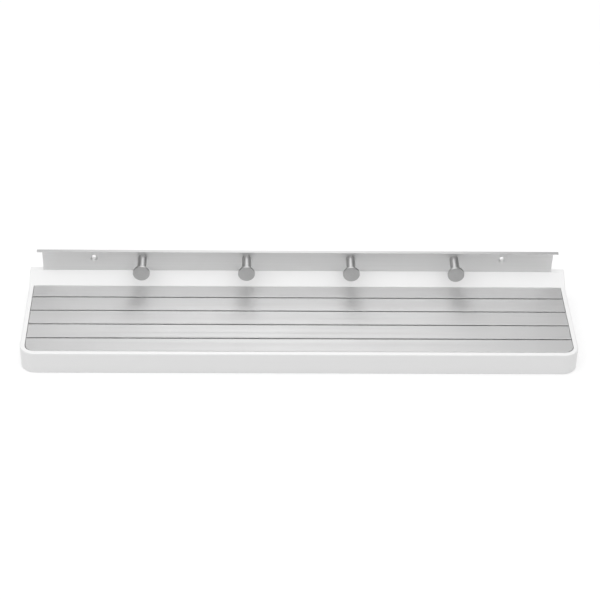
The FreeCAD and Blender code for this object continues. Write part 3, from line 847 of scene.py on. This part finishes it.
@dataclass
class HookRail:
    """The metal rail with its flange, and the four pegs on it."""

    pegs: int = 4
    metal: Colour = (0.79, 0.79, 0.79)
    peg_metal: Colour = (0.56, 0.56, 0.56)
    seed_step: float = 5.3

    def dress(self) -> None:
        """Finish the rail, each peg about its own axis, and the screws behind them."""
        dress("hook_rail", BrushedMetal(
            "rail_aluminium", self.metal, roughness=0.50, anisotropy=0.5,
            line_depth=millimetres(0.001), tone_share=0.97, seed=4.4))
        for number in range(1, self.pegs + 1):
            low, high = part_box(f"peg_{number}")
            axis = (low + high) / 2
            dress(f"peg_{number}", TurnedMetal(
                f"peg_metal_{number}", self.peg_metal, axis, seed=self.seed_step * number))
        dress("peg_screws", PlainMetal("peg_screw_steel", SCREW_STEEL))


@dataclass(frozen=True)
class PhotoCamera:
    """Camera that stands where the photograph was taken."""

    frame_pixels: float = 600.0
    focal_pixels: float = 1866.3
    elevation: float = math.radians(37.0)
    yaw: float = -0.0346
    roll: float = 0.0251
    distance: float = 2.0681
    target: Tuple[float, float, float] = (0.00137, -0.04713, -0.0261)
    sensor_width: float = 36.0
    clip_start: float = 0.05
    clip_end: float = 50.0

    def build(self) -> bpy.types.Object:
        """Place the camera and make it the scene's own.

        Returns:
            The camera.
        """
        flat = math.cos(self.elevation)
        back = Vector((math.sin(self.yaw) * flat, -math.cos(self.yaw) * flat, math.sin(self.elevation)))
        right = (-back).cross(Vector((0.0, 0.0, 1.0))).normalized()
        up = right.cross(-back)
        rolled_right = right * math.cos(self.roll) + up * math.sin(self.roll)
        rolled_up = up * math.cos(self.roll) - right * math.sin(self.roll)
        turn = Matrix((rolled_right, rolled_up, back)).transposed()
        data = bpy.data.cameras.new("photo_camera")
        data.sensor_width = self.sensor_width
        data.lens = self.focal_pixels / self.frame_pixels * self.sensor_width
        data.clip_start = self.clip_start
        data.clip_end = self.clip_end
        camera = bpy.data.objects.new("photo_camera", data)
        camera.matrix_world = Matrix.Translation(Vector(self.target) + back * self.distance) @ turn.to_4x4()
        bpy.context.scene.collection.objects.link(camera)
        bpy.context.scene.camera = camera
        log.info("camera: %.1f mm lens, %.2f m away", data.lens, self.distance)
        return camera


def make_sheet(name: str, corners: Sequence[Sequence[float]],
               faces: Sequence[Sequence[int]] = ONE_FACE) -> bpy.types.Object:
    """Make one thin sheet of the studio.

    Args:
        name: Name of the object.
        corners: Its corners.
        faces: Numbers of the corners round each face.

    Returns:
        The linked object.
    """
    mesh = bpy.data.meshes.new(name)
    mesh.from_pydata([tuple(corner) for corner in corners], [], [tuple(face) for face in faces])
    sheet = bpy.data.objects.new(name, mesh)
    bpy.context.scene.collection.objects.link(sheet)
    return sheet


def seen_share(graph: NodeGraph) -> bpy.types.NodeSocket:
    """Tell the rays that show a background from those that light the object.

    Args:
        graph: Tree of the floor or the world.

    Returns:
        1 for camera, glossy and transmission rays, else 0.
    """
    path = graph.add("ShaderNodeLightPath").outputs
    direct = graph.math(Step.MAXIMUM, path["Is Camera Ray"], path["Is Glossy Ray"])
    return graph.math(Step.MAXIMUM, direct, path["Is Transmission Ray"])


@dataclass(frozen=True)
class Floor:
    """Plain white floor under the shelf, which shows as the background and keeps its shadow.

    It is open from below, and to rays that start within a hair of it, so that the rim of the underside
    gets light too.
    """

    half_size: float = 6.0
    colour: Colour = (0.62, 0.62, 0.62)
    glow: float = 0.42
    touch: float = millimetres(0.3)

    def build(self, height: float) -> bpy.types.Object:
        """Lay the floor.

        Args:
            height: Its height, which is the underside of the shelf.

        Returns:
            The floor.
        """
        half = self.half_size
        floor = make_sheet("floor", [(-half, -half, height), (half, -half, height),
                                     (half, half, height), (-half, half, height)])
        material = bpy.data.materials.new("floor_white")
        material.use_nodes = True
        graph = NodeGraph(material.node_tree)
        paper = graph.add("ShaderNodeBsdfDiffuse", {"Color": opaque(self.colour)})
        glow = graph.add("ShaderNodeEmission", {
            "Color": opaque(WHITE), "Strength": graph.math(Step.MULTIPLY, seen_share(graph), self.glow),
        })
        lit = graph.add("ShaderNodeAddShader", {0: paper.outputs["BSDF"], 1: glow.outputs["Emission"]})
        clear = graph.add("ShaderNodeBsdfTransparent")
        below = graph.add("ShaderNodeNewGeometry").outputs["Backfacing"]
        length = graph.add("ShaderNodeLightPath").outputs["Ray Length"]
        open_share = graph.math(Step.MAXIMUM, below, graph.math(Step.UNDER, length, self.touch))
        both = graph.add("ShaderNodeMixShader", {
            0: open_share, 1: lit.outputs["Shader"], 2: clear.outputs["BSDF"],
        })
        output = graph.add("ShaderNodeOutputMaterial")
        graph.feed(output.inputs["Surface"], both.outputs["Shader"])
        floor.data.materials.append(material)
        return floor


@dataclass(frozen=True)
class Surroundings:
    """White room: plain soft light on the object and a white background."""

    light: float = 0.70
    shown: float = 1.0

    def build(self) -> bpy.types.World:
        """Make the world.

        Returns:
            The world.
        """
        world = bpy.data.worlds.new("studio")
        world.use_nodes = True
        graph = NodeGraph(world.node_tree)
        strength = graph.remap(seen_share(graph), 0.0, 1.0, self.light, self.shown)
        back = graph.add("ShaderNodeBackground", {"Color": opaque(WHITE), "Strength": strength})
        output = graph.add("ShaderNodeOutputWorld")
        graph.feed(output.inputs["Surface"], back.outputs["Background"])
        bpy.context.scene.world = world
        return world


@dataclass(frozen=True)
class Softbox:
    """Large soft lamp that looks at the shelf."""

    name: str
    place: Tuple[float, float, float]
    width: float
    power: float

    def build(self) -> bpy.types.Object:
        """Hang the lamp.

        Returns:
            The lamp.
        """
        data = bpy.data.lights.new(self.name, "AREA")
        data.shape = "SQUARE"
        data.size = self.width
        data.energy = self.power
        lamp = bpy.data.objects.new(self.name, data)
        lamp.location = self.place
        lamp.rotation_euler = (-Vector(self.place)).to_track_quat("-Z", "Y").to_euler()
        lamp.visible_glossy = False
        bpy.context.scene.collection.objects.link(lamp)
        return lamp


def make_card(name: str, corners: Sequence[Sequence[float]],
              faces: Sequence[Sequence[int]] = ONE_FACE) -> Tuple[bpy.types.Object, NodeGraph]:
    """Make a sheet that only glossy surfaces see.

    Args:
        name: Name of the sheet.
        corners: Its corners.
        faces: Numbers of the corners round each face.

    Returns:
        The sheet, and the empty tree of its material.
    """
    card = make_sheet(name, corners, faces)
    for ray in ("camera", "diffuse", "transmission", "volume_scatter", "shadow"):
        setattr(card, f"visible_{ray}", False)
    material = bpy.data.materials.new(name)
    material.use_nodes = True
    card.data.materials.append(material)
    return card, NodeGraph(material.node_tree)


def glow_evenly(graph: NodeGraph, level: Value) -> None:
    """Let a card's material shine with one level in every direction.

    Args:
        graph: The card's tree.
        level: Its brightness.
    """
    glow = graph.add("ShaderNodeEmission", {"Color": opaque(WHITE), "Strength": level})
    output = graph.add("ShaderNodeOutputMaterial")
    graph.feed(output.inputs["Surface"], glow.outputs["Emission"])


@dataclass(frozen=True)
class LightArch:
    """Arch of reflector sheet that only glossy surfaces see.

    It runs from behind the shelf over it to the camera's side. Its level changes along the shelf and
    with the angle over the horizon behind the shelf: each row is an angle in degrees and its levels.
    """

    MIDDLE: ClassVar[float] = 0.5

    back: float = 0.62
    front: float = 2.6
    crown: float = 1.5
    half_width: float = 1.7
    sections: int = 36
    place_shares: Tuple[float, ...] = (-1.0, -0.4, -0.18, 0.0, 0.18, 0.4, 1.0)
    rows: Tuple[Tuple[float, Tuple[float, ...]], ...] = (
        (0.0, (0.05, 0.08, 0.40, 0.70, 0.28, 0.05, 0.03)),
        (20.0, (0.04, 0.06, 0.56, 1.95, 0.42, 0.03, 0.02)),
        (38.0, (0.04, 0.06, 0.56, 2.05, 0.42, 0.03, 0.02)),
        (56.0, (0.04, 0.06, 0.70, 3.00, 0.46, 0.03, 0.02)),
        (80.0, (0.04, 0.08, 0.80, 2.20, 0.50, 0.05, 0.03)),
        (110.0, (0.30, 0.45, 1.00, 1.50, 0.85, 0.36, 0.20)),
        (140.0, (1.10, 1.30, 1.40, 1.40, 1.30, 1.10, 0.90)),
        (180.0, (0.70, 0.70, 0.70, 0.70, 0.70, 0.60, 0.50)),
    )

    def outline(self) -> List[Tuple[float, float]]:
        """Work out the arch's outline.

        Returns:
            Its points in Y and Z, from its foot behind the shelf to its foot before it.
        """
        points = []
        for number in range(self.sections + 1):
            angle = math.pi * number / self.sections
            reach = self.back if angle < math.pi / 2 else self.front
            points.append((reach * math.cos(angle), self.crown * math.sin(angle)))
        return points

    def ramp(self, graph: NodeGraph, share: bpy.types.NodeSocket, levels: Sequence[float],
             highest: float) -> bpy.types.NodeSocket:
        """Add a ramp of levels along the shelf.

        Args:
            graph: The arch's tree.
            share: Place along the arch's width, from 0 to 1.
            levels: Level at each of the arch's places.
            highest: Level that a white ramp stands for.

        Returns:
            The level's socket, as a share of the highest one.
        """
        node = graph.add("ShaderNodeValToRGB", {"Fac": share})
        node.color_ramp.interpolation = "B_SPLINE"
        elements = node.color_ramp.elements
        while len(elements) < len(levels):
            elements.new(self.MIDDLE)
        for element, place_share, level in zip(elements, self.place_shares, levels):
            element.position = self.MIDDLE + place_share / 2
            element.color = opaque(shade(WHITE, level / highest))
        return graph.add("ShaderNodeRGBToBW", {"Color": node.outputs["Color"]}).outputs["Val"]

    def build(self) -> bpy.types.Object:
        """Set the arch up.

        Returns:
            The arch.
        """
        half = self.half_width
        outline = self.outline()
        corners = [(side * half, y, z) for y, z in outline for side in (-1, 1)]
        faces = [(2 * n, 2 * n + 1, 2 * n + 3, 2 * n + 2) for n in range(self.sections)]
        arch, graph = make_card("light_arch", corners, faces)
        x, y, z = graph.split(graph.place())
        share = graph.math(Step.ADD, graph.math(Step.DIVIDE, x, 2 * half), self.MIDDLE)
        angle = graph.math(Step.ANGLE, z, y)
        highest = max(level for _, levels in self.rows for level in levels)
        total: Value = self.ramp(graph, share, self.rows[0][1], highest)
        for (start, _), (end, levels) in zip(self.rows, self.rows[1:]):
            along = graph.remap(angle, math.radians(start), math.radians(end))
            row = self.ramp(graph, share, levels, highest)
            step = graph.math(Step.MULTIPLY, along, graph.math(Step.SUBTRACT, row, total))
            total = graph.math(Step.ADD, total, step)
        glow_evenly(graph, graph.math(Step.MULTIPLY, total, highest))
        return arch


@dataclass(frozen=True)
class FrontSheet:
    """Darker sheet on the floor before the shelf, which only glossy surfaces see."""

    back: float = -0.20
    front: float = -2.6
    half_width: float = 1.7
    lift: float = millimetres(2)
    level: float = 0.30

    def build(self, height: float) -> bpy.types.Object:
        """Lay the sheet.

        Args:
            height: Height of the floor.

        Returns:
            The sheet.
        """
        half, z = self.half_width, height + self.lift
        sheet, graph = make_card("front_sheet", [
            (-half, self.front, z), (half, self.front, z), (half, self.back, z), (-half, self.back, z)])
        glow_evenly(graph, self.level)
        return sheet


@dataclass(frozen=True)
class Flag:
    """Darker sheet at one end of the shelf, which gives metal its dark reflections."""

    name: str
    place: float
    foot_level: float
    top_level: float
    back: float = 0.6
    front: float = -2.4
    height: float = 1.6

    def build(self) -> bpy.types.Object:
        """Stand the flag up.

        Returns:
            The flag.
        """
        flag, graph = make_card(self.name, [
            (self.place, self.front, 0.0), (self.place, self.back, 0.0),
            (self.place, self.back, self.height), (self.place, self.front, self.height)])
        z = graph.split(graph.place())[2]
        glow_evenly(graph, graph.remap(z, 0.0, self.height, self.foot_level, self.top_level))
        return flag


@dataclass
class Studio:
    """Floor, light, reflector and camera about the shelf."""

    camera: PhotoCamera = PhotoCamera()
    floor: Floor = Floor()
    surroundings: Surroundings = Surroundings()
    lamps: Tuple[Softbox, ...] = (
        Softbox("overhead", (-0.3, -0.8, 2.4), 5.0, 44.0),
        Softbox("left_lamp", (-1.7, -0.1, 1.6), 2.0, 3.0),
        Softbox("right_lamp", (1.7, -0.1, 1.6), 2.0, 2.0),
    )
    arch: LightArch = LightArch()
    front_sheet: FrontSheet = FrontSheet()
    left_flag: Flag = Flag("left_flag", -1.75, 0.03, 0.08)
    right_flag: Flag = Flag("right_flag", 1.75, 0.02, 0.05)

    def build(self) -> None:
        """Set the studio up round the shelf."""
        bpy.context.scene.view_settings.view_transform = "Standard"
        self.camera.build()
        self.floor.build(cad_box[0].z)
        self.surroundings.build()
        for lamp in self.lamps:
            lamp.build()
        self.arch.build()
        self.front_sheet.build(cad_box[0].z)
        for flag in (self.left_flag, self.right_flag):
            flag.build()


def main() -> None:
    """Dress the shelf and build its studio, in order."""
    logging.basicConfig(level=logging.INFO, format="%(message)s")
    Studio().build()
    ShelfBody().dress()
    Deck().dress()
    HookRail().dress()


if __name__ == "__main__":
    main()
